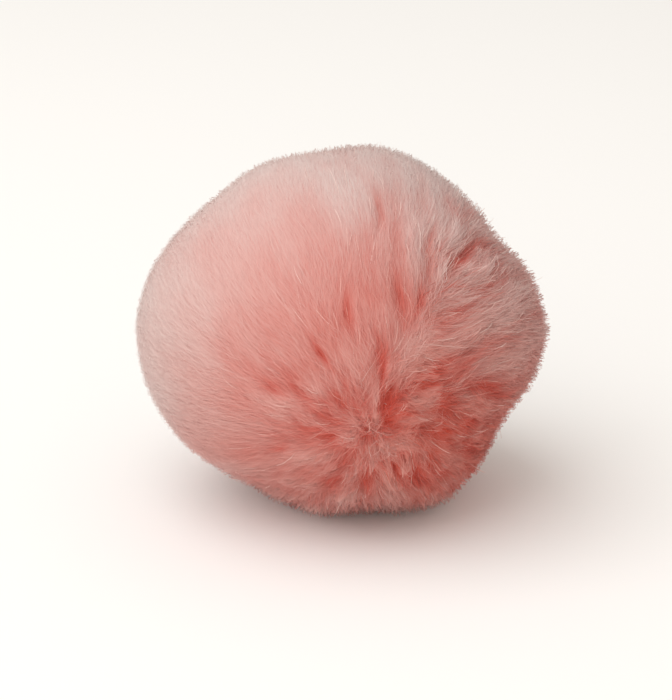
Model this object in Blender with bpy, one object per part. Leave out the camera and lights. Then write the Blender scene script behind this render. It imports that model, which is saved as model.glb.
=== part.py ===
"""Fur pom pom, 80 mm wide, resting on its own fur.

One disc of fur is gathered into a ball. Its hair grows away from the parting where the disc's
edge is drawn together, low on the front, and is combed from there round to the back.
The solid is the ball's backing with the fur as thick locks, each fused to the backing at its root.

The locks are first grown upright on a plain ball of radius 1, and then combed: the whole ball
takes its real shape, and each lock's root slides towards the parting. Locks that stood apart
before that stand apart after it.

Metres, +Z up. The origin is on the floor, under the middle of the ball. The front faces -Y.
"""

import math
import random

import bmesh
import bpy
from mathutils import Color, Matrix, Quaternion, Vector, noise

# How far the hair tips reach from the ball's middle, seen from the front and a little above.
# The angle runs anticlockwise from the ball's right-hand side.
OUTLINE = (
    # angle (degrees), reach (m)
    (0, 0.0410),
    (32, 0.0356),
    (52, 0.0357),
    (78, 0.0369),
    (97, 0.0357),
    (118, 0.0366),
    (150, 0.0384),
    (165, 0.0400),
    (183, 0.0410),
    (212, 0.0385),
    (238, 0.0358),
    (262, 0.0361),
    (278, 0.0359),
    (302, 0.0386),
    (330, 0.0360),
    (345, 0.0377),
)
OUTLINE_TILT = math.radians(20)  # that view looks down by this much
DEPTH_REACH = 0.0372  # reach towards the front and the back of that view
MIDDLE_HEIGHT = 0.0335  # of the ball's middle: its own weight presses it a little flat
BACKING_SHARE = 0.74  # of the reach. The rest is the locks

LOCKS_ACROSS = 7  # on each of the six sides of the plain ball, so 294 locks in all
SIDES_TURN = math.radians(29)  # of those sides about Z, which keeps their rows off the parting
ROOT_GAP = 0.034  # between the roots of two locks on the plain ball, about 1 mm
WANDER = 0.12  # how far the rows of locks wander, on the plain ball
WANDER_SCALE = 1.9  # of the noise that they follow
UNEVENNESS = 0.026  # how far each cell's corners are moved on top of that
SHORTEST = 0.94  # height of the shortest lock's tip on the plain ball
SEED = 7

# A lock's rings above its root
LOCK_RINGS = (
    # height share, width share, share of its stray
    (0.40, 0.96, 0.1),
    (0.78, 0.84, 0.5),
    (1.00, 0.50, 1.0),
)
FLOOR_TIP_WIDTH = 0.70  # width share of a tip that is pressed flat on the floor

# The parting that the hair grows away from, as a direction from the ball's middle
PARTING = Vector((0.155, -0.961, -0.214)).normalized()
LEAN_MOST = 0.40  # radians that a lock's root lies nearer the parting than its tip
LEAN_RISE = math.radians(75)  # the angle from the parting over which the lean grows
LEAN_FALL = math.radians(100)  # the angle from which it fades, to none at the back
LEAN_CURVE = 1.5  # above 1, so that a lock stands up at its root and lies down at its tip

FUR_COLOUR = "#DDA59C"
FUR_ROUGHNESS = 0.9

MIDDLE = Vector((0.0, 0.0, MIDDLE_HEIGHT))
VIEW_RIGHT = Vector((1.0, 0.0, 0.0))
VIEW_UP = Vector((0.0, math.sin(OUTLINE_TILT), math.cos(OUTLINE_TILT)))
VIEW_NEAR = VIEW_RIGHT.cross(VIEW_UP)
DOWN = Vector((0.0, 0.0, -1.0))
FLOOR_EDGE = math.radians(27)  # from straight down, where the ball has lifted off the floor
FLOOR_ROWS = math.radians(50)  # rows of locks wander fully from here on
PRESSED_FLAT = 0.0005  # a tip that would end less than this above the floor lies on it


def smooth_step(value, low, high):
    """0 below low, 1 above high, and an even curve between them."""
    share = min(max((value - low) / (high - low), 0.0), 1.0)
    return share * share * (3 - 2 * share)


def outline_reach(angle):
    """The outline's reach at an angle in degrees, on a smooth closed curve through its rows."""
    angle %= 360
    count = len(OUTLINE)
    after = next((i for i, row in enumerate(OUTLINE) if row[0] > angle), count)
    rows = [OUTLINE[(after + step) % count] for step in (-2, -1, 0, 1)]
    start, end = rows[1][0], rows[2][0]
    t = ((angle - start) % 360) / ((end - start) % 360)
    before, low, high, beyond = (row[1] for row in rows)
    return 0.5 * (
        2 * low
        + (high - before) * t
        + (2 * before - 5 * low + 4 * high - beyond) * t**2
        + (3 * low - before - 3 * high + beyond) * t**3
    )


def reach(direction):
    """How far the hair tips are from the ball's middle in a direction. The floor stops them."""
    across = direction.dot(VIEW_RIGHT)
    up = direction.dot(VIEW_UP)
    near = direction.dot(VIEW_NEAR)
    rim = outline_reach(math.degrees(math.atan2(up, across)))
    free = 1 / math.hypot(math.hypot(across, up) / rim, near / DEPTH_REACH)
    if direction.z < 0:
        return min(free, MIDDLE_HEIGHT / -direction.z)
    return free


def lean(direction):
    """How far a lock's root lies nearer the parting than its tip, in radians."""
    from_parting = direction.angle(PARTING)
    rise = smooth_step(from_parting, 0, LEAN_RISE)
    fall = 1 - smooth_step(from_parting, LEAN_FALL, math.pi)
    return LEAN_MOST * rise * fall


def plain_ball():
    """A ball of radius 1 with a cell for each lock. A cell's middle is straight down."""
    ball = bmesh.new()
    bmesh.ops.create_cube(ball, size=2)
    cuts = LOCKS_ACROSS - 1
    bmesh.ops.subdivide_edges(ball, edges=ball.edges[:], cuts=cuts, use_grid_fill=True)
    for vertex in ball.verts:
        even = (math.tan(side * math.pi / 4) for side in vertex.co)
        vertex.co = Vector(even).normalized()
    bmesh.ops.rotate(ball, verts=ball.verts[:], matrix=Matrix.Rotation(SIDES_TURN, 3, "Z"))
    return ball


def unsettle(ball):
    """Takes the locks' cells off their regular grid, least of all on the floor."""
    for vertex in ball.verts:
        off_floor = smooth_step(vertex.co.angle(DOWN), FLOOR_EDGE, FLOOR_ROWS)
        wander = noise.noise_vector(vertex.co * WANDER_SCALE) * WANDER * off_floor
        shift = Vector(random.uniform(-1, 1) for _ in range(3)) * UNEVENNESS
        vertex.co += wander + shift
        vertex.co.normalize()


def grow_lock(ball, root):
    """Grows an upright lock from a cell. Its tip strays to a point inside the cell."""
    corners = [vertex.co.copy() for vertex in root.verts]
    middle = sum(corners, Vector()) / len(corners)
    pulls = [random.random() for _ in corners]
    stray = sum((c * p for c, p in zip(corners, pulls)), Vector()) / sum(pulls)
    on_floor = middle.angle(DOWN) < FLOOR_EDGE
    top = 1 if on_floor else random.uniform(SHORTEST, 1)
    face = root
    for height, width, stray_share in LOCK_RINGS:
        if on_floor:
            width = max(width, FLOOR_TIP_WIDTH)
        face = bmesh.ops.extrude_discrete_faces(ball, faces=[face])["faces"][0]
        centre = middle.lerp(stray, stray_share)
        radius = BACKING_SHARE + (top - BACKING_SHARE) * height
        for vertex, corner in zip(face.verts, corners):
            vertex.co = centre.lerp(corner, width).normalized() * radius


def comb(vertex):
    """Moves a vertex from the plain ball to its place on the real one."""
    share = vertex.co.length
    direction = vertex.co.normalized()
    height = max(share - BACKING_SHARE, 0) / (1 - BACKING_SHARE)
    still_to_bend = 1 - height**LEAN_CURVE
    side_ways = direction.cross(PARTING)
    if side_ways.length > 0:
        turn = Quaternion(side_ways.normalized(), lean(direction) * still_to_bend)
        direction = turn @ direction
    vertex.co = MIDDLE + direction * reach(direction) * share
    if vertex.co.z < PRESSED_FLAT:
        vertex.co.z = 0


def fur_ball():
    """The backing with a lock on each of its cells, combed."""
    ball = plain_ball()
    unsettle(ball)
    roots = ball.faces[:]
    bmesh.ops.inset_individual(
        ball, faces=roots, thickness=ROOT_GAP / 2, use_even_offset=True
    )
    for vertex in ball.verts:
        vertex.co = vertex.co.normalized() * BACKING_SHARE
    for root in roots:
        grow_lock(ball, root)
    for vertex in ball.verts:
        comb(vertex)
    return ball


def fur_material():
    """Dyed fur: matt, with paler tips."""
    material = bpy.data.materials.new("dyed_fur")
    material.use_nodes = True
    shader = material.node_tree.nodes["Principled BSDF"]
    red, green, blue = (int(FUR_COLOUR[at : at + 2], 16) / 255 for at in (1, 3, 5))
    linear = Color((red, green, blue)).from_srgb_to_scene_linear()
    shader.inputs["Base Color"].default_value = (*linear, 1)
    shader.inputs["Roughness"].default_value = FUR_ROUGHNESS
    shader.inputs["Metallic"].default_value = 0
    return material


def main():
    for old in list(bpy.data.objects):
        bpy.data.objects.remove(old)
    random.seed(SEED)
    noise.seed_set(SEED)
    collection = bpy.data.collections.new("fur_pom_pom")
    bpy.context.scene.collection.children.link(collection)
    mesh = bpy.data.meshes.new("fur_ball")
    ball = fur_ball()
    ball.to_mesh(mesh)
    ball.free()
    mesh.materials.append(fur_material())
    mesh.shade_smooth()
    mesh.set_sharp_from_angle(angle=math.radians(50))
    collection.objects.link(bpy.data.objects.new("fur_ball", mesh))


main()
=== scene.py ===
"""Fur pom pom: the hair of a dyed fur ball, 80 mm wide, on a pale floor.

The hair is grown as fine flat blades over the whole ball. It starts low on the front, at the
parting where the disc of fur was drawn together, and is combed from there to the back.
Sizes are in metres unless a comment gives another unit.
"""

import math

import bmesh
import bpy
import numpy as np
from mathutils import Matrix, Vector


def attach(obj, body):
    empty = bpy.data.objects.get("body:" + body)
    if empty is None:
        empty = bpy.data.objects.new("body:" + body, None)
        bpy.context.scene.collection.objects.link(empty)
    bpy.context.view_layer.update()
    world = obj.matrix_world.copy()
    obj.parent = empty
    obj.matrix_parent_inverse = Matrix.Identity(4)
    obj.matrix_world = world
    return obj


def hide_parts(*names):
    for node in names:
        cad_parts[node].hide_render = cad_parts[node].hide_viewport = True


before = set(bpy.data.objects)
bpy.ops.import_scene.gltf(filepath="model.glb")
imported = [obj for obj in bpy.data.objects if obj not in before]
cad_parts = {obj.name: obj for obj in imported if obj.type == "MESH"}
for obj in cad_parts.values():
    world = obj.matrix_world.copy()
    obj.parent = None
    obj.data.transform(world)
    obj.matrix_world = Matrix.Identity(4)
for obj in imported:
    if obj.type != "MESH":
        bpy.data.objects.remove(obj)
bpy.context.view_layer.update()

MM = 0.001
RNG = np.random.default_rng(11)
TINY = 1e-6  # keeps a length off 0 before something is divided by it

# ---------------------------------------------------------------- the ball's form

# How far the coat reaches from the ball's middle, seen from the front and a little above.
# The angle runs anticlockwise from the ball's right-hand side.
OUTLINE = (
    # angle (degrees), reach (mm)
    (0, 39.0),
    (18, 37.2),
    (32, 34.3),
    (52, 35.0),
    (78, 36.2),
    (97, 35.2),
    (118, 36.0),
    (134, 36.0),
    (150, 37.6),
    (165, 39.5),
    (183, 40.3),
    (212, 38.4),
    (238, 35.1),
    (262, 35.6),
    (278, 35.2),
    (302, 37.9),
    (330, 35.3),
    (345, 37.4),
)
OUTLINE_TILT = math.radians(20)  # that view looks down by this much
DEPTH_REACH = 36.5 * MM  # reach towards the front and the back of that view
MIDDLE = np.array((0.0, 0.0, 33.5 * MM))
FLOOR_GAP = 0.1 * MM  # between the floor and the lowest hair
ALMOST_LEVEL = 1e-3  # the least slope down at which a direction still meets the floor

VIEW_RIGHT = np.array((1.0, 0.0, 0.0))
VIEW_UP = np.array((0.0, math.sin(OUTLINE_TILT), math.cos(OUTLINE_TILT)))
VIEW_NEAR = np.cross(VIEW_RIGHT, VIEW_UP)
VIEW_AXES = np.array((VIEW_RIGHT, VIEW_UP, VIEW_NEAR))

# The parting that the hair grows away from, as directions from the ball's middle. To its right
# the hair also grows away from a crease, which runs up from the parting.
PARTING = np.array((0.155, -0.961, -0.214))
CREASE_TOP = np.array((0.303, -0.896, 0.326))
CREASE_SIDE = (-0.10, 0.26)  # over which the hair turns from one side of the crease to the other


def unit(vectors):
    """The vectors at length 1."""
    return vectors / np.linalg.norm(vectors, axis=-1, keepdims=True)


def dot(a, b):
    """Dot products along the last axis, kept as a column."""
    return (a * b).sum(-1, keepdims=True)


def smooth_step(value, low, high):
    """0 below low, 1 above high, and an even curve between them."""
    share = np.clip((value - low) / (high - low), 0, 1)
    return share * share * (3 - 2 * share)


def outline_curve():
    """The outline's reach at each whole degree, on a smooth closed curve through its rows."""
    angles, reaches = np.array(OUTLINE, float).T
    found = np.zeros(361)
    for i in range(len(angles)):
        before, low, high, beyond = reaches[np.arange(i - 1, i + 3) % len(angles)]
        span = (angles[(i + 1) % len(angles)] - angles[i]) % 360
        steps = np.arange(span)
        t = steps / span
        curve = 0.5 * (
            2 * low
            + (high - before) * t
            + (2 * before - 5 * low + 4 * high - beyond) * t**2
            + (3 * low - before - 3 * high + beyond) * t**3
        )
        found[(angles[i] + steps).astype(int) % 360] = curve
    found[360] = found[0]
    return found * MM


OUTLINE_CURVE = outline_curve()


def reach(directions):
    """How far the coat reaches from the ball's middle. The floor stops it."""
    across, up, near = np.moveaxis(directions @ VIEW_AXES.T, -1, 0)
    angles = np.degrees(np.arctan2(up, across)) % 360
    rim = np.interp(angles, np.arange(361), OUTLINE_CURVE)
    free = 1 / np.hypot(np.hypot(across, up) / rim, near / DEPTH_REACH)
    to_floor = (MIDDLE[2] - FLOOR_GAP) / np.maximum(-directions[..., 2], ALMOST_LEVEL)
    return np.minimum(free, to_floor)[..., None]


def away_from_parting(directions):
    """The way the hair is combed: along the ball, away from the parting and its crease."""
    crease = CREASE_TOP - PARTING
    up_crease = np.clip(dot(directions - PARTING, crease) / (crease @ crease), 0, 1)
    right_of = dot(directions, unit(np.cross(crease, PARTING)))
    source = PARTING + crease * up_crease * smooth_step(right_of, *CREASE_SIDE)
    along = directions * dot(directions, source) - source
    return along / np.maximum(np.linalg.norm(along, axis=-1, keepdims=True), TINY)


def even_directions(count, unevenness):
    """That many directions spread evenly round the ball, each moved a little at random."""
    height = 1 - (2 * np.arange(count) + 1) / count
    turn = np.arange(count) * math.pi * (3 - math.sqrt(5))
    flat = np.sqrt(1 - height**2)
    points = np.stack((flat * np.cos(turn), flat * np.sin(turn), height), 1)
    spacing = math.sqrt(4 * math.pi / count)
    return unit(points + RNG.normal(0, unevenness * spacing, points.shape))


# ---------------------------------------------------------------- how the coat lies

# Each row holds round its own direction, given as seen in the outline's view, and fades into
# the rows near it.
#   locks: how strongly the coat falls into long locks, from 0 for sleek to 1
#   tufts: how strongly hairs draw together into small tufts, from 0 to 1
#   stray: degrees that the locks turn from the combed way
#   fray: degrees that single hairs turn from their lock
#   long: mm that a hair's tip lies further from the parting than its root
#   loft: mm that the tips rise above the dense coat
#   droop: how far the tips come down again to the dense coat, from 0 to 1
#   pale: how pale the hair is, from 0 to 1. Besides the dye it holds painted light and shade: the
#       hair is set deepest on the shaded low right rim and palest on the lit crown and upper left
#   guard: how many guard hairs grow, from 0 to 1
COAT = (
    # right, up, near, locks, tufts, stray, fray, long, loft, droop, pale, guard
    (-0.60, 0.50, 0.62, 0.01, 0.00, 2, 4, 5.0, 0.60, 0.40, 0.68, 0.00),  # sleek shoulder
    (-0.92, -0.05, 0.38, 0.02, 0.00, 2, 4, 5.0, 0.75, 0.60, 0.98, 0.00),  # sleek left flank
    (-0.55, 0.80, 0.00, 0.03, 0.00, 2, 5, 5.0, 0.80, 0.65, 1.00, 0.00),  # upper left rim
    (0.15, 0.90, 0.40, 0.12, 0.03, 4, 8, 5.0, 0.80, 0.70, 0.92, 0.08),  # crown
    (0.00, 0.15, 1.00, 0.10, 0.08, 6, 9, 5.0, 0.90, 0.40, 0.37, 0.05),  # above the parting
    (-0.25, -0.30, 0.92, 0.09, 0.30, 8, 12, 4.5, 0.90, 0.30, 0.35, 0.04),  # left of the parting
    (0.72, 0.20, 0.66, 1.00, 0.30, 9, 8, 7.0, 1.10, 0.50, 0.50, 1.00),  # long locks, right
    (0.98, 0.05, 0.00, 0.35, 0.05, 6, 7, 6.0, 0.80, 0.80, 0.54, 0.30),  # right flank
    # Painted shade: the next row sets the hair deep in dye where the rim lies on the lamp's shaded
    # side.
    (0.80, -0.60, 0.05, 0.35, 0.15, 8, 9, 4.5, 0.70, 0.90, 0.00, 0.15),  # low on the right rim
    (0.20, -0.48, 0.85, 0.25, 1.00, 14, 24, 3.2, 1.20, 0.20, 0.16, 0.45),  # the parting
    (0.60, -0.50, 0.62, 0.35, 0.65, 12, 15, 4.5, 1.00, 0.40, 0.00, 0.28),  # right of the parting
    (0.15, -0.93, 0.33, 0.35, 0.55, 12, 13, 4.5, 0.90, 0.50, 0.26, 0.25),  # below the parting
    (0.00, -1.00, -0.10, 0.35, 0.20, 8, 9, 4.5, 0.70, 0.80, 0.45, 0.10),  # the underside
    (-0.60, -0.52, 0.60, 0.02, 0.02, 3, 4, 5.0, 0.65, 0.50, 0.32, 0.00),  # lower left
    (0.00, 0.20, -1.00, 0.45, 0.15, 7, 11, 5.0, 1.00, 0.85, 0.86, 0.20),  # back
    (0.00, -0.80, -0.60, 0.45, 0.15, 7, 11, 5.0, 1.00, 0.85, 0.50, 0.20),  # low on the back
)
COAT_COLUMNS = ("locks", "tufts", "stray", "fray", "long", "loft", "droop", "pale", "guard")
COAT_SHARPNESS = 9.0  # of the change from one row to the next

# Tufts that stand up and gaps between tufts that the photo shows one by one. Each lies along
# the combed way.
TUFTS_AND_GAPS = (
    # right, up, length, width (mm from the ball's middle in the outline's view), rise (mm)
    # The furrow at the upper right, the pale lock under it and the gap under that
    (22.0, 13.4, 15.0, 2.8, -1.1),
    (26.0, 11.6, 12.0, 3.4, 0.5),
    (26.5, 8.6, 9.0, 1.4, -0.6),
    # A gap and the lock above it, at the right
    (26.7, -10.5, 7.0, 1.8, -0.9),
    (31.0, -5.5, 8.0, 3.6, 0.4),
    # Soft furrows on the crown
    (15.8, 16.9, 8.0, 1.8, -0.5),
    (6.6, 22.0, 8.0, 1.8, -0.5),
    # Gaps above the parting and to its left
    (13.9, 5.4, 8.0, 1.2, -0.6),
    (10.3, 5.6, 7.0, 1.8, -0.5),
    (0.6, 3.6, 7.0, 1.6, -0.5),
    (7.0, -6.8, 9.0, 1.5, -1.2),
    (-4.3, -4.1, 5.0, 1.3, -0.9),
    (-8.2, -11.2, 4.5, 1.2, -0.7),
    (-13.6, -10.4, 5.0, 2.6, -0.5),
    # The deep gap in the parting, and the gaps below it and to its right
    (8.0, -12.8, 5.0, 3.2, -1.6),
    (7.4, -17.0, 3.0, 2.2, -1.2),
    (-0.3, -13.6, 4.5, 1.3, -0.8),
    (-4.3, -15.4, 3.0, 2.0, -0.5),
    (-6.2, -18.1, 5.5, 1.6, -0.5),
    (-2.5, -19.6, 3.6, 1.8, -1.2),
    (-11.6, -22.0, 4.0, 1.4, -0.5),
    (4.1, -19.3, 2.0, 4.4, -1.2),
    (-0.1, -24.8, 2.6, 1.8, -0.9),
    (-2.1, -28.8, 4.0, 3.0, -1.0),
    (3.9, -28.4, 5.5, 1.6, -1.1),
    (9.8, -25.8, 4.0, 1.6, -1.0),
    (14.4, -28.0, 6.0, 3.0, -1.0),
    (18.5, -14.9, 4.0, 3.6, -0.9),
    (23.8, -22.4, 5.0, 2.4, -0.8),
    # The smooth lock above the parting
    (2.6, -4.6, 9.0, 6.0, 0.3),
    # Tufts round the parting
    (-4.7, -10.6, 4.5, 3.4, 0.4),
    (5.8, -13.4, 6.5, 3.0, 0.5),
    (1.6, -15.6, 5.0, 1.6, 0.4),
    (0.6, -19.0, 3.6, 3.4, 0.5),
    (8.4, -20.4, 5.0, 3.0, 0.5),
    (11.8, -20.2, 4.0, 3.4, 0.5),
    (5.1, -23.4, 4.0, 4.0, 0.4),
    (12.3, -25.2, 4.4, 2.6, 0.5),
    (8.0, -29.0, 4.4, 3.0, 0.5),
    (20.7, -25.3, 6.0, 3.4, 0.5),
    (14.4, -13.0, 5.0, 4.0, 0.5),
    (15.0, -4.8, 6.0, 3.6, 0.4),
    (10.8, -5.4, 6.0, 2.6, 0.4),
    (-7.2, -23.6, 6.5, 4.0, 0.3),
    (-11.0, -13.8, 5.0, 4.4, 0.3),
)


WAVE_RANGE = (0.7, 1.3)  # how close together a pattern's waves are, against 1 for its width
TUFT_UNEVENNESS = 0.4  # of the tufts' spread, as a share of their spacing, as the next three are
TUFT_EDGE_WIDTH = 0.6  # of the ripples in a tuft's edge
TUFT_EDGE_SHIFT = 0.2  # how far those ripples move the edge
TUFT_OFF_MOST = 0.7  # the furthest that a place counts as off the middle of its tuft
TUFT_EDGE_WAVES = 24
AT_ONCE = 20000  # directions whose tufts are found together, which spares memory


def coat_at(directions):
    """The coat's values in these directions, one column for each name."""
    rows = np.array(COAT)
    nearness = (directions @ VIEW_AXES.T) @ unit(rows[:, :3]).T
    weights = np.exp(COAT_SHARPNESS * (nearness - 1))
    weights /= weights.sum(1, keepdims=True)
    values = weights @ rows[:, 3:]
    coat = dict(zip(COAT_COLUMNS, values.T[..., None]))
    coat["pale"] = coat["pale"] + PATCH_PALE * PATCHES.at(directions)
    return coat


class Ripples:
    """A smooth random pattern round the ball, as a sum of waves that run in all directions."""

    def __init__(self, width, count):
        ways = unit(RNG.normal(0, 1, (count, 3)))
        self.waves = ways * RNG.uniform(*WAVE_RANGE, (count, 1)) * math.pi / width
        self.starts = RNG.uniform(0, 2 * math.pi, count)

    def at(self, directions, along=None, length=0.0):
        """The pattern, about from -2 to 2. Along a way, it can be drawn out to a length."""
        values = np.cos(directions @ self.waves.T + self.starts)
        if along is None:
            return values.sum(1, keepdims=True) * math.sqrt(2 / len(self.starts))
        kept = np.exp(-0.5 * (along @ self.waves.T * length / 2) ** 2)
        strength = np.sqrt((kept**2).sum(1, keepdims=True) / 2)
        return (values * kept).sum(1, keepdims=True) / np.maximum(strength, TINY)


class Tufts:
    """Points that hairs draw together to, each with its own rise and turn."""

    def __init__(self, spacing):
        count = round(4 * math.pi / spacing**2)
        self.size = spacing
        self.at = even_directions(count, TUFT_UNEVENNESS)
        self.rise, self.turn = RNG.normal(0, 1, (2, count, 1))
        width = spacing * TUFT_EDGE_WIDTH
        self.edges = [Ripples(width, TUFT_EDGE_WAVES) for _ in range(3)]

    def shifted(self, directions):
        """The directions moved about a little, so that the tufts' edges are uneven."""
        shift = np.concatenate([edge.at(directions) for edge in self.edges], 1)
        return unit(directions + shift * self.size * TUFT_EDGE_SHIFT)

    def nearest(self, directions):
        """For each direction, the number of its tuft."""
        places = self.shifted(directions)
        found = np.empty(len(places), int)
        for part in np.array_split(np.arange(len(places)), 1 + len(places) // AT_ONCE):
            found[part] = np.argmax(places[part] @ self.at.T, axis=1)
        return found

    def off_middle(self, directions, tuft):
        """How far each direction is from the middle of its tuft, about 0.6 at the edge."""
        off = self.shifted(directions) - self.at[tuft]
        distance = np.linalg.norm(off, axis=1, keepdims=True)
        return np.minimum(distance / self.size, TUFT_OFF_MOST)


MEAN_REACH = 38.0  # mm, to turn a length along the ball into an angle
TURNS = Ripples(9.0 / MEAN_REACH, 40)
LOCKS = Ripples(3.2 / MEAN_REACH, 160)
STRANDS = Ripples(1.0 / MEAN_REACH, 240)
PUFFS = Ripples(1.5 / MEAN_REACH, 200)
TUFTS = Tufts(3.4 / MEAN_REACH)
PATCHES = Ripples(6.0 / MEAN_REACH, 60)
PATCH_PALE = 0.02  # how much paler and deeper the dye is in patches
LOCK_LENGTH = 10.0 / MEAN_REACH
STRAND_LENGTH = 6.0 / MEAN_REACH
PUFF_LENGTH = 2.5 / MEAN_REACH
COAT_DEPTH = 1.2  # mm from the outline in to the dense coat

# mm that the dense coat rises for each 1 of a pattern
LOCK_RISE = 0.38
STRAND_RISE = 0.20
PUFF_RISE = 0.30
TUFT_RISE = 0.30
PUFF_MEAN = 0.8  # of the puffs' pattern without its sign
GAP_DEPTH = 0.6  # mm, which the next two are shares of
TUFT_TOP = 0.2  # rise in the middle of a tuft
TUFT_ROUNDING = 1.3  # fall from there to one spacing off the middle
STRANDS_ON_TUFTS = 1.3  # how strongly strands show on tufts, against 1 on locks


def combed_way(directions, coat):
    """The way the tufts lie: away from the parting, with a smooth stray."""
    away = away_from_parting(directions)
    around = np.cross(directions, away)
    turn = np.radians(coat["stray"] * TURNS.at(directions))
    return np.cos(turn) * away + np.sin(turn) * around


def single_rises(directions, way):
    """How far the tufts and gaps of the table rise, in mm."""
    views = directions @ VIEW_AXES.T
    places = views * reach(directions) / MM
    lie = way @ VIEW_AXES.T[:, :2]
    lie /= np.maximum(np.linalg.norm(lie, axis=1, keepdims=True), TINY)
    total = np.zeros((len(directions), 1))
    for right, up, length, width, rise in TUFTS_AND_GAPS:
        off = places[:, :2] - (right, up)
        along = dot(off, lie) / (length / 2)
        across = (off[:, :1] * lie[:, 1:] - off[:, 1:] * lie[:, :1]) / (width / 2)
        total += rise * np.exp(-(along**2) - across**2) * (views[:, 2:] > 0)
    return total


def rise_at(directions, coat, way, tuft):
    """How far the dense coat rises above its mean, in mm."""
    locks = LOCK_RISE * LOCKS.at(directions, way, LOCK_LENGTH)
    strands = STRAND_RISE * STRANDS.at(directions, way, STRAND_LENGTH)
    tufts = TUFT_RISE * TUFTS.rise[tuft]
    tufts += GAP_DEPTH * (TUFT_TOP - TUFTS.off_middle(directions, tuft) ** 2 * TUFT_ROUNDING)
    tufts += PUFF_RISE * (np.abs(PUFFS.at(directions, way, PUFF_LENGTH)) - PUFF_MEAN)
    stranded = np.maximum(coat["locks"], STRANDS_ON_TUFTS * coat["tufts"]) ** 2
    return (
        coat["locks"] * locks
        + stranded * strands
        + coat["tufts"] * tufts
        + single_rises(directions, way)
    )


def even_cap(values, most):
    """The values, brought evenly within this much of 0."""
    return most * np.tanh(values / most)


# ---------------------------------------------------------------- hair

HAIR_RINGS = np.array((0.0, 0.5, 1.0))  # along a hair, from root to tip
GUARD_RINGS = np.array((0.0, 0.3, 0.6, 0.85, 1.0))
MAP_RANGE = (0.01, 0.99)  # of the shade map that hairs lie in
SHADE_WIDTH = 0.0012  # half of a hair's width on the shade map

# Each pair is the value in sleek hair, and what is added to it where the coat is most uneven.
ROOT_DEPTH = (0.25, 0.25)  # mm of a hair that is inside the dense coat
LOFT_SPREAD = (0.45, 0.35)  # how far hairs differ in loft, as a power of e
TIP_TONE = (0.01, 0.26)  # how much of TONE_ALONG a hair's tone shows
OWN_TONE = (0.005, 0.12)  # how far hairs differ in tone
OWN_PALE = (0.01, 0.08)  # and in how pale they are

OWN_MOST = 2  # times its spread, the furthest that a hair's own form is from the mean
LEAN_SPREAD = 0.25  # how far hairs differ in length, as a power of e
DROOP_SPREAD = 0.3  # how far they differ in droop
TUFT_TURN = 20  # degrees that a tuft's hairs turn together
TUFT_PULL = 0.5  # how far a tuft draws its hairs' tips together
BEND = 0.0075  # of a hair's length that it bends to one side, for each degree of fray
SLEEK_FRAY = 5.0  # degrees, up to which hair lies straight
LEAN_CURVE = 1.3  # above 1, so that a hair lies flatter towards its tip
LIFT_CURVE = 1.5  # above 1, so that it rises most at its root
DROOP_ARCH = 0.8  # of its loft, that a hair whose tip comes right down rises half way along
TONE_ALONG = (-0.5, 1.4)  # change of tone at a hair's root, and from there to its tip
# Painted rim light: tall hairs are made paler towards their tips, in place of the light that fur
# lets through at its rim.
PAINTED_RIM_LIGHT = 0.10  # how much paler a hair's tip is for each mm of its loft

# The dense coat's tone, from 0 for the colour of a hair's root to 1 for that of its tip. Deep in
# the gaps and pale on tall tufts, it is partly the roots' deeper dye and partly painted shade and
# light, since the fine hair casts no shadow.
MEAN_TONE = 0.66
TONE_AND_SHADE_SWING = 0.62  # how far a tall tuft or a deep gap takes it from the mean
TONE_RISE = 0.9  # mm of rise that takes it three quarters of that way

SLOPE_STEP = 0.3  # mm over which the coat's slope is taken
SLOPE_MOST = 0.5  # the steepest slope that a hair's shading follows


def blade_template(rings):
    """One flat tapered blade: for each vertex its side and ring, and the faces."""
    blade = bmesh.new()
    bmesh.ops.create_grid(blade, x_segments=1, y_segments=rings, size=1)
    tip = [vertex for vertex in blade.verts if vertex.co.y > 0.99]
    bmesh.ops.pointmerge(blade, verts=tip, merge_co=Vector((0, 1, 0)))
    blade.verts.index_update()
    sides = np.array([round(vertex.co.x) for vertex in blade.verts])
    ring_of = np.array([round((vertex.co.y + 1) / 2 * rings) for vertex in blade.verts])
    faces = [[vertex.index for vertex in face.verts] for face in blade.faces]
    blade.free()
    return sides, ring_of, faces


def by_unevenness(pair, uneven):
    """A value between that of sleek hair and that of the most uneven coat."""
    sleek, added = pair
    return sleek + added * uneven


def coat_normal(directions, coat, way, across, tuft):
    """The dense coat's normal, from its rise a little further along and across the way."""
    rise = rise_at(directions, coat, way, tuft)
    step = SLOPE_STEP / MEAN_REACH
    slope = np.zeros((len(directions), 3))
    for side in (way, across):
        beyond = rise_at(unit(directions + side * step), coat, way, tuft)
        slope += side * even_cap((beyond - rise) / SLOPE_STEP, SLOPE_MOST)
    return unit(directions - slope)


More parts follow.
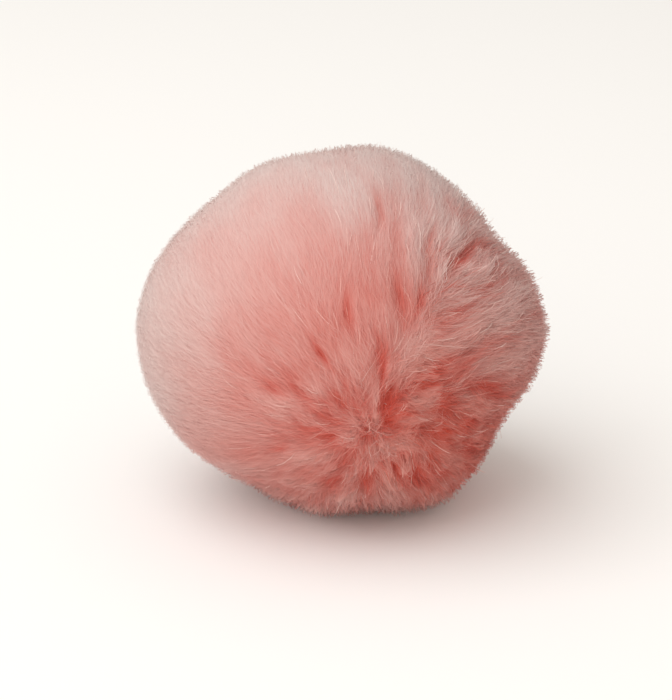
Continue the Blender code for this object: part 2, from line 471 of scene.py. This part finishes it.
def grow(tips, rings, stand=1.0):
    """Hairs with these tip directions: points at each ring, their tones and how pale they are
    there, and the dense coat's normal under each hair. Stand scales their loft."""
    coat = coat_at(tips)
    way = combed_way(tips, coat)
    across = np.cross(tips, way)
    tuft = TUFTS.nearest(tips)
    normal = coat_normal(tips, coat, way, across, tuft)
    uneven = np.maximum(coat["locks"], coat["tufts"])
    count = len(tips)

    own = np.clip(RNG.normal(0, 1, (5, count, 1)), -OWN_MOST, OWN_MOST)
    own_turn, own_lean, own_loft, own_droop, own_bend = own
    turn = np.radians(coat["fray"] * own_turn + TUFT_TURN * coat["tufts"] * TUFTS.turn[tuft])
    lie = np.cos(turn) * way + np.sin(turn) * across
    lean = coat["long"] / MEAN_REACH * np.exp(LEAN_SPREAD * own_lean)
    loft = coat["loft"] * np.exp(by_unevenness(LOFT_SPREAD, uneven) * own_loft) * stand
    droop = np.clip(coat["droop"] + DROOP_SPREAD * own_droop, 0, 1)
    frizz = np.maximum(coat["fray"] - SLEEK_FRAY, 0)
    bend = np.cross(tips, lie) * lean * BEND * frizz * own_bend
    pull = TUFT_PULL * coat["tufts"] * (TUFTS.at[tuft] - tips)
    buried = by_unevenness(ROOT_DEPTH, uneven)

    points = np.empty((count, len(rings), 3))
    rises = np.empty((count, len(rings)))
    for ring, t in enumerate(rings):
        still = lean * (1 - t**LEAN_CURVE)
        arch = 4 * t * (1 - t)
        at = unit(np.cos(still) * tips - np.sin(still) * lie + pull * t + bend * arch)
        under = rise_at(at, coat, way, tuft)
        lift = 1 - (1 - t) ** LIFT_CURVE
        raised = (1 - droop) * lift + droop * DROOP_ARCH * arch
        height = loft * raised - buried * (1 - lift)
        points[:, ring] = MIDDLE + at * (reach(at) + (under - COAT_DEPTH + height) * MM)
        rises[:, ring] = under[:, 0]
    points[..., 2] = np.maximum(points[..., 2], FLOOR_GAP)

    own_tone, own_pale = RNG.normal(0, 1, (2, count, 1))
    at_root, to_tip = TONE_ALONG
    along = by_unevenness(TIP_TONE, uneven) * (to_tip * rings + at_root)
    tones = tone_and_painted_shade(rises) + along + by_unevenness(OWN_TONE, uneven) * own_tone
    # The coat's pale values, with painted rim light on the tall tips.
    pale_and_rim_light = coat["pale"] * (1 + PAINTED_RIM_LIGHT * loft * rings)
    shade = pale_and_rim_light + by_unevenness(OWN_PALE, uneven) * own_pale
    return points, tones, shade, normal


def tone_and_painted_shade(rise):
    """Where the dense coat's colour lies from root to tip: deep in the gaps, pale on the tufts.
    That is partly the roots' deeper dye, and partly painted shade in the gaps and painted light on
    the tufts.
    """
    return MEAN_TONE + TONE_AND_SHADE_SWING * np.tanh(rise / TONE_RISE)


def mesh_of_blades(name, points, tones, shade, normal, rings, widths):
    """A mesh of one flat blade along each path, with its tone and shade as its places on the
    shade map."""
    count = len(points)
    sides, ring_of, faces = blade_template(len(rings) - 1)
    along = unit(np.gradient(points, axis=1))
    square = unit(np.cross(along, normal[:, None]))
    roll = np.clip(RNG.normal(0, ROLL_SPREAD, (count, 1, 1)), -ROLL_MOST, ROLL_MOST)
    across = np.cos(roll) * square + np.sin(roll) * np.cross(along, square)
    half = across * widths[..., None] / 2

    vertices = points[:, ring_of] + half[:, ring_of] * sides[:, None]
    normals = np.broadcast_to(normal[:, None], (count, len(sides), 3))
    u = np.clip(tones, *MAP_RANGE)[:, ring_of]
    v = np.clip(shade, *MAP_RANGE)[:, ring_of] + sides * SHADE_WIDTH

    sizes = np.array([len(face) for face in faces])
    loops = (np.arange(count)[:, None] * len(sides) + np.concatenate(faces)).ravel()
    starts = np.concatenate(([0], np.cumsum(np.tile(sizes, count))[:-1]))

    mesh = bpy.data.meshes.new(name)
    mesh.vertices.add(count * len(sides))
    mesh.loops.add(len(loops))
    mesh.polygons.add(len(starts))
    mesh.vertices.foreach_set("co", vertices.astype(np.float32).ravel())
    mesh.loops.foreach_set("vertex_index", loops.astype(np.int32))
    mesh.polygons.foreach_set("loop_start", starts.astype(np.int32))
    mesh.polygons.foreach_set("use_smooth", np.ones(len(starts), bool))
    mesh.update(calc_edges=True)
    uv = mesh.uv_layers.new(name="OFBake")
    places = np.stack((u, v), -1).reshape(-1, 2)[loops]
    uv.uv.foreach_set("vector", places.astype(np.float32).ravel())
    custom = mesh.attributes.new("custom_normal", "FLOAT_VECTOR", "POINT")
    custom.data.foreach_set("vector", normals.astype(np.float32).ravel())
    mesh.update()
    return mesh


def add_piece(name, mesh, material):
    """Puts a mesh in the scene as a piece of the ball."""
    mesh.materials.append(material)
    piece = bpy.data.objects.new(name, mesh)
    bpy.context.scene.collection.objects.link(piece)
    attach(piece, "root")
    return piece


# ---------------------------------------------------------------- materials


def linear(hex_colour):
    """An sRGB hex colour as linear red, green, blue and alpha."""
    parts = [int(hex_colour[at : at + 2], 16) / 255 for at in (1, 3, 5)]
    flat = [p / 12.92 if p <= 0.04045 else ((p + 0.055) / 1.055) ** 2.4 for p in parts]
    return (*flat, 1.0)


def new_material(name, roughness, settings=()):
    """A material with a plain Principled surface, and its node tree."""
    material = bpy.data.materials.new(name)
    material.use_nodes = True
    shader = material.node_tree.nodes["Principled BSDF"]
    shader.inputs["Roughness"].default_value = roughness
    for socket, value in settings:
        shader.inputs[socket].default_value = value
    return material, material.node_tree, shader


def add_node(tree, kind, settings=(), links=()):
    """A node with its settings, and links from other nodes' outputs to its inputs."""
    node = tree.nodes.new(kind)
    for name, value in settings:
        if hasattr(node, name):
            setattr(node, name, value)
        else:
            node.inputs[name].default_value = value
    for socket, source in links:
        tree.links.new(source, node.inputs[socket])
    return node


def add_ramp(tree, source, stops):
    """A colour ramp through these places and hex colours."""
    ramp = add_node(tree, "ShaderNodeValToRGB", links=(("Fac", source),))
    elements = ramp.color_ramp.elements
    while len(elements) < len(stops):
        elements.new(0.5)
    for element, (place, colour) in zip(elements, stops):
        element.position = place
        element.color = linear(colour)
    return ramp


def colour_by_tone(tree, tone, pale_share, deep, pale):
    """Hair colour by its tone from root to tip. Deep and pale are the darkest and the lightest
    hairs, and the pale share says where a hair lies between them."""
    deep_ramp = add_ramp(tree, tone, deep)
    pale_ramp = add_ramp(tree, tone, pale)
    mix = add_node(tree, "ShaderNodeMix", (("data_type", "RGBA"),))
    tree.links.new(pale_share, mix.inputs["Factor"])
    tree.links.new(deep_ramp.outputs["Color"], mix.inputs["A"])
    tree.links.new(pale_ramp.outputs["Color"], mix.inputs["B"])
    return mix.outputs["Result"]


# Rabbit-type fur, bleached and dyed pink. The dye took more strongly near the skin, so a hair
# goes from coral at its root to pale blush at its tip.
DEEP_HAIR = ((0.0, "#CE3A28"), (0.35, "#D24E3C"), (0.7, "#D66A5A"), (1.0, "#DC8678"))
PALE_HAIR = ((0.0, "#CE6052"), (0.35, "#D59D94"), (0.7, "#DCCBC6"), (1.0, "#E6DAD6"))
MATT = 0.9  # roughness
HAIR_IOR = 1.55  # of keratin, which hair is made of
SHEEN = (("Sheen Weight", 0.15), ("Sheen Roughness", 0.5))


def hair_material(name, deep, pale, roughness, specular):
    """Dyed hair, with its tone and shade on the hair's own map. Those also hold painted shade in
    the gaps and painted light on tufts and tall tips.
    """
    settings = (("Specular IOR Level", specular), ("IOR", HAIR_IOR), *SHEEN)
    material, tree, shader = new_material(name, roughness, settings)
    uv = add_node(tree, "ShaderNodeUVMap", (("uv_map", "OFBake"),))
    split = add_node(tree, "ShaderNodeSeparateXYZ", links=(("Vector", uv.outputs["UV"]),))
    colour = colour_by_tone(tree, split.outputs["X"], split.outputs["Y"], deep, pale)
    tree.links.new(colour, shader.inputs["Base Color"])
    return material


def dense_coat_material():
    """The mass of fine underwool, too dense and too thin to tell its hairs apart."""
    material, tree, shader = new_material(
        "dyed_fur_dense_coat", MATT, (("Specular IOR Level", 0.0), *SHEEN)
    )
    # The tone and pale attributes hold painted shade in the gaps and on the shaded rim, and
    # painted light on tufts and the lit crown, as well as the dye.
    tone = add_node(tree, "ShaderNodeAttribute", (("attribute_name", "tone"),))
    pale = add_node(tree, "ShaderNodeAttribute", (("attribute_name", "pale"),))
    colour = colour_by_tone(
        tree, tone.outputs["Fac"], pale.outputs["Fac"], DEEP_HAIR, PALE_HAIR
    )
    tree.links.new(colour, shader.inputs["Base Color"])
    return material


underwool = hair_material(
    "dyed_fur_underwool", DEEP_HAIR, PALE_HAIR, roughness=MATT, specular=0.0
)
# Guard hairs are thicker, smoother and paler, and catch the light.
guard_hair = hair_material(
    "dyed_fur_guard_hair",
    deep=((0.0, "#CF5344"), (0.5, "#DA8072"), (1.0, "#E6AA9E")),
    pale=((0.0, "#D86E60"), (0.5, "#E8BCB2"), (1.0, "#F4DCD4")),
    roughness=0.45,
    specular=0.4,
)


# ---------------------------------------------------------------- the pieces of fur

COAT_CUTS = 127  # across each side of the cube that the dense coat starts from
SECTORS = 3  # round the parting, so that no piece has too many hairs
HAIRS = 65000  # in each sector
HAIR_UNEVENNESS = 0.5  # of the hairs' spread, as a share of their spacing
HAIR_WIDTH = np.array((0.07, 0.065, 0.0)) * MM  # at each ring
WIDTH_SPREAD = 0.2  # how far hairs differ in width, as a power of e
GUARD_HAIRS = 7000  # if they grew everywhere
GUARD_UNEVENNESS = 0.6
GUARD_WIDTH = np.array((0.08, 0.08, 0.07, 0.05, 0.0)) * MM
GUARD_STAND = 1.4  # their loft, against 1 for underwool
GUARD_TIP_TONE = 0.3  # how much paler than underwool's their tone is at the tip
GUARD_PALE = (0.1, 0.2)  # how much paler their dye is, and how far they differ in that
ROLL_SPREAD = 0.1  # radians that a blade turns about its own length
ROLL_MOST = 0.4


def build_dense_coat():
    """The fur's dense mass: one closed body with its tufts and gaps raised in it."""
    body = bmesh.new()
    bmesh.ops.create_cube(body, size=2)
    bmesh.ops.subdivide_edges(body, edges=body.edges[:], cuts=COAT_CUTS, use_grid_fill=True)
    mesh = bpy.data.meshes.new("dense_coat")
    body.to_mesh(mesh)
    body.free()

    places = np.empty(len(mesh.vertices) * 3, np.float32)
    mesh.vertices.foreach_get("co", places)
    directions = unit(np.tan(places.reshape(-1, 3).astype(float) * math.pi / 4))
    coat = coat_at(directions)
    way = combed_way(directions, coat)
    rise = rise_at(directions, coat, way, TUFTS.nearest(directions))
    points = MIDDLE + directions * (reach(directions) + (rise - COAT_DEPTH) * MM)
    points[:, 2] = np.maximum(points[:, 2], 2 * FLOOR_GAP)
    mesh.vertices.foreach_set("co", points.astype(np.float32).ravel())
    # Dye together with painted shade in the gaps and painted light on the tufts.
    for name, values in (("tone", tone_and_painted_shade(rise)), ("pale", coat["pale"])):
        attribute = mesh.attributes.new(name, "FLOAT", "POINT")
        attribute.data.foreach_set("value", values.astype(np.float32).ravel())
    mesh.shade_smooth()
    mesh.update()
    return mesh


def sectors(tips):
    """The hairs of each sector round the parting."""
    right = unit(np.cross(PARTING, (0, 0, 1.0)))
    above = np.cross(right, PARTING)
    turn = np.arctan2(tips @ above, tips @ right)
    return np.array_split(np.argsort(turn, kind="stable"), SECTORS)


def grow_underwool():
    """The fine hairs of the coat, in one piece for each sector."""
    tips = even_directions(SECTORS * HAIRS, HAIR_UNEVENNESS)
    hairs = grow(tips, HAIR_RINGS)
    pieces = []
    for number, members in enumerate(sectors(tips)):
        size = np.exp(RNG.normal(0, WIDTH_SPREAD, (len(members), 1)))
        own = (values[members] for values in hairs)
        mesh = mesh_of_blades(f"underwool_{number + 1}", *own, HAIR_RINGS, HAIR_WIDTH * size)
        piece = add_piece(mesh.name, mesh, underwool)
        # Light goes through such thin hair. The dense coat and the guard hairs cast the shadows,
        # and the shade between hairs is painted into their tone.
        piece.visible_shadow = False
        pieces.append(piece)
    return pieces


def grow_guard_hairs():
    """Single longer hairs that stand a little out of the coat."""
    tips = even_directions(GUARD_HAIRS, GUARD_UNEVENNESS)
    tips = tips[RNG.random(len(tips)) < coat_at(tips)["guard"][:, 0]]
    points, tones, shade, normal = grow(tips, GUARD_RINGS, GUARD_STAND)
    tones = tones + GUARD_TIP_TONE * GUARD_RINGS
    shade = shade + RNG.normal(*GUARD_PALE, (len(shade), 1))
    size = np.exp(RNG.normal(0, WIDTH_SPREAD, (len(tips), 1)))
    mesh = mesh_of_blades(
        "guard_hairs", points, tones, shade, normal, GUARD_RINGS, GUARD_WIDTH * size
    )
    return add_piece(mesh.name, mesh, guard_hair)


dense_coat = add_piece("dense_coat", build_dense_coat(), dense_coat_material())
for piece in (dense_coat, *grow_underwool(), grow_guard_hairs()):
    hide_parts("fur_ball")

# ---------------------------------------------------------------- floor, light and camera


FLOOR_SIZE = 6  # metres across
SKY_STRENGTH = 0.68


def build_floor():
    """A plain pale floor."""
    bpy.ops.mesh.primitive_plane_add(size=FLOOR_SIZE)
    floor = bpy.context.object
    floor.name = "floor"
    material, _, shader = new_material("pale_floor", MATT, (("Specular IOR Level", 0.0),))
    shader.inputs["Base Color"].default_value = linear("#FAF9F8")
    floor.data.materials.append(material)


def aim(thing, target):
    """Turns a lamp or camera so that it looks at a point."""
    way = Vector(target) - thing.location
    thing.rotation_euler = way.to_track_quat("-Z", "Y").to_euler()


def add_lamp(name, place, size, watts, colour):
    """A soft square lamp that faces the ball."""
    light = bpy.data.lights.new(name, "AREA")
    light.size = size
    light.energy = watts
    light.color = linear(colour)[:3]
    lamp = bpy.data.objects.new(name, light)
    lamp.location = place
    bpy.context.scene.collection.objects.link(lamp)
    aim(lamp, MIDDLE)


def light_scene():
    """One large soft lamp high on the left, a weak one low in front and a little to the left, and
    a pale sky."""
    add_lamp("key_lamp", (-0.56, -0.28, 1.06), size=1.4, watts=9.7, colour="#FCFDFF")
    add_lamp("fill_lamp", (-0.38, -0.95, 0.22), size=0.8, watts=2.6, colour="#FFF6EE")
    world = bpy.data.worlds.new("studio")
    bpy.context.scene.world = world
    world.use_nodes = True
    sky = world.node_tree.nodes["Background"]
    sky.inputs["Color"].default_value = linear("#FFFAF2")
    sky.inputs["Strength"].default_value = SKY_STRENGTH


PHOTO_WIDTH, PHOTO_HEIGHT = 672, 700  # pixels
BALL_AT = (344.0, 330.5)  # the ball's middle in the photo, in pixels
BALL_WIDTH = 416.0  # in the photo, in pixels
BALL_REAL_WIDTH = 80.3 * MM
CAMERA_DISTANCE = 0.45
SENSOR = 36.0  # mm


def place_camera():
    """The photo's view: from the front, looking down a little."""
    lens = bpy.data.cameras.new("camera")
    lens.sensor_fit = "HORIZONTAL"
    lens.sensor_width = SENSOR
    lens.lens = SENSOR * BALL_WIDTH / PHOTO_WIDTH * CAMERA_DISTANCE / BALL_REAL_WIDTH
    lens.shift_x = (PHOTO_WIDTH / 2 - BALL_AT[0]) / PHOTO_WIDTH
    lens.shift_y = (BALL_AT[1] - PHOTO_HEIGHT / 2) / PHOTO_WIDTH
    camera = bpy.data.objects.new("camera", lens)
    camera.location = Vector(MIDDLE + VIEW_NEAR * CAMERA_DISTANCE)
    bpy.context.scene.collection.objects.link(camera)
    aim(camera, MIDDLE)
    bpy.context.scene.camera = camera


build_floor()
light_scene()
place_camera()
bpy.context.scene.view_settings.view_transform = "Standard"
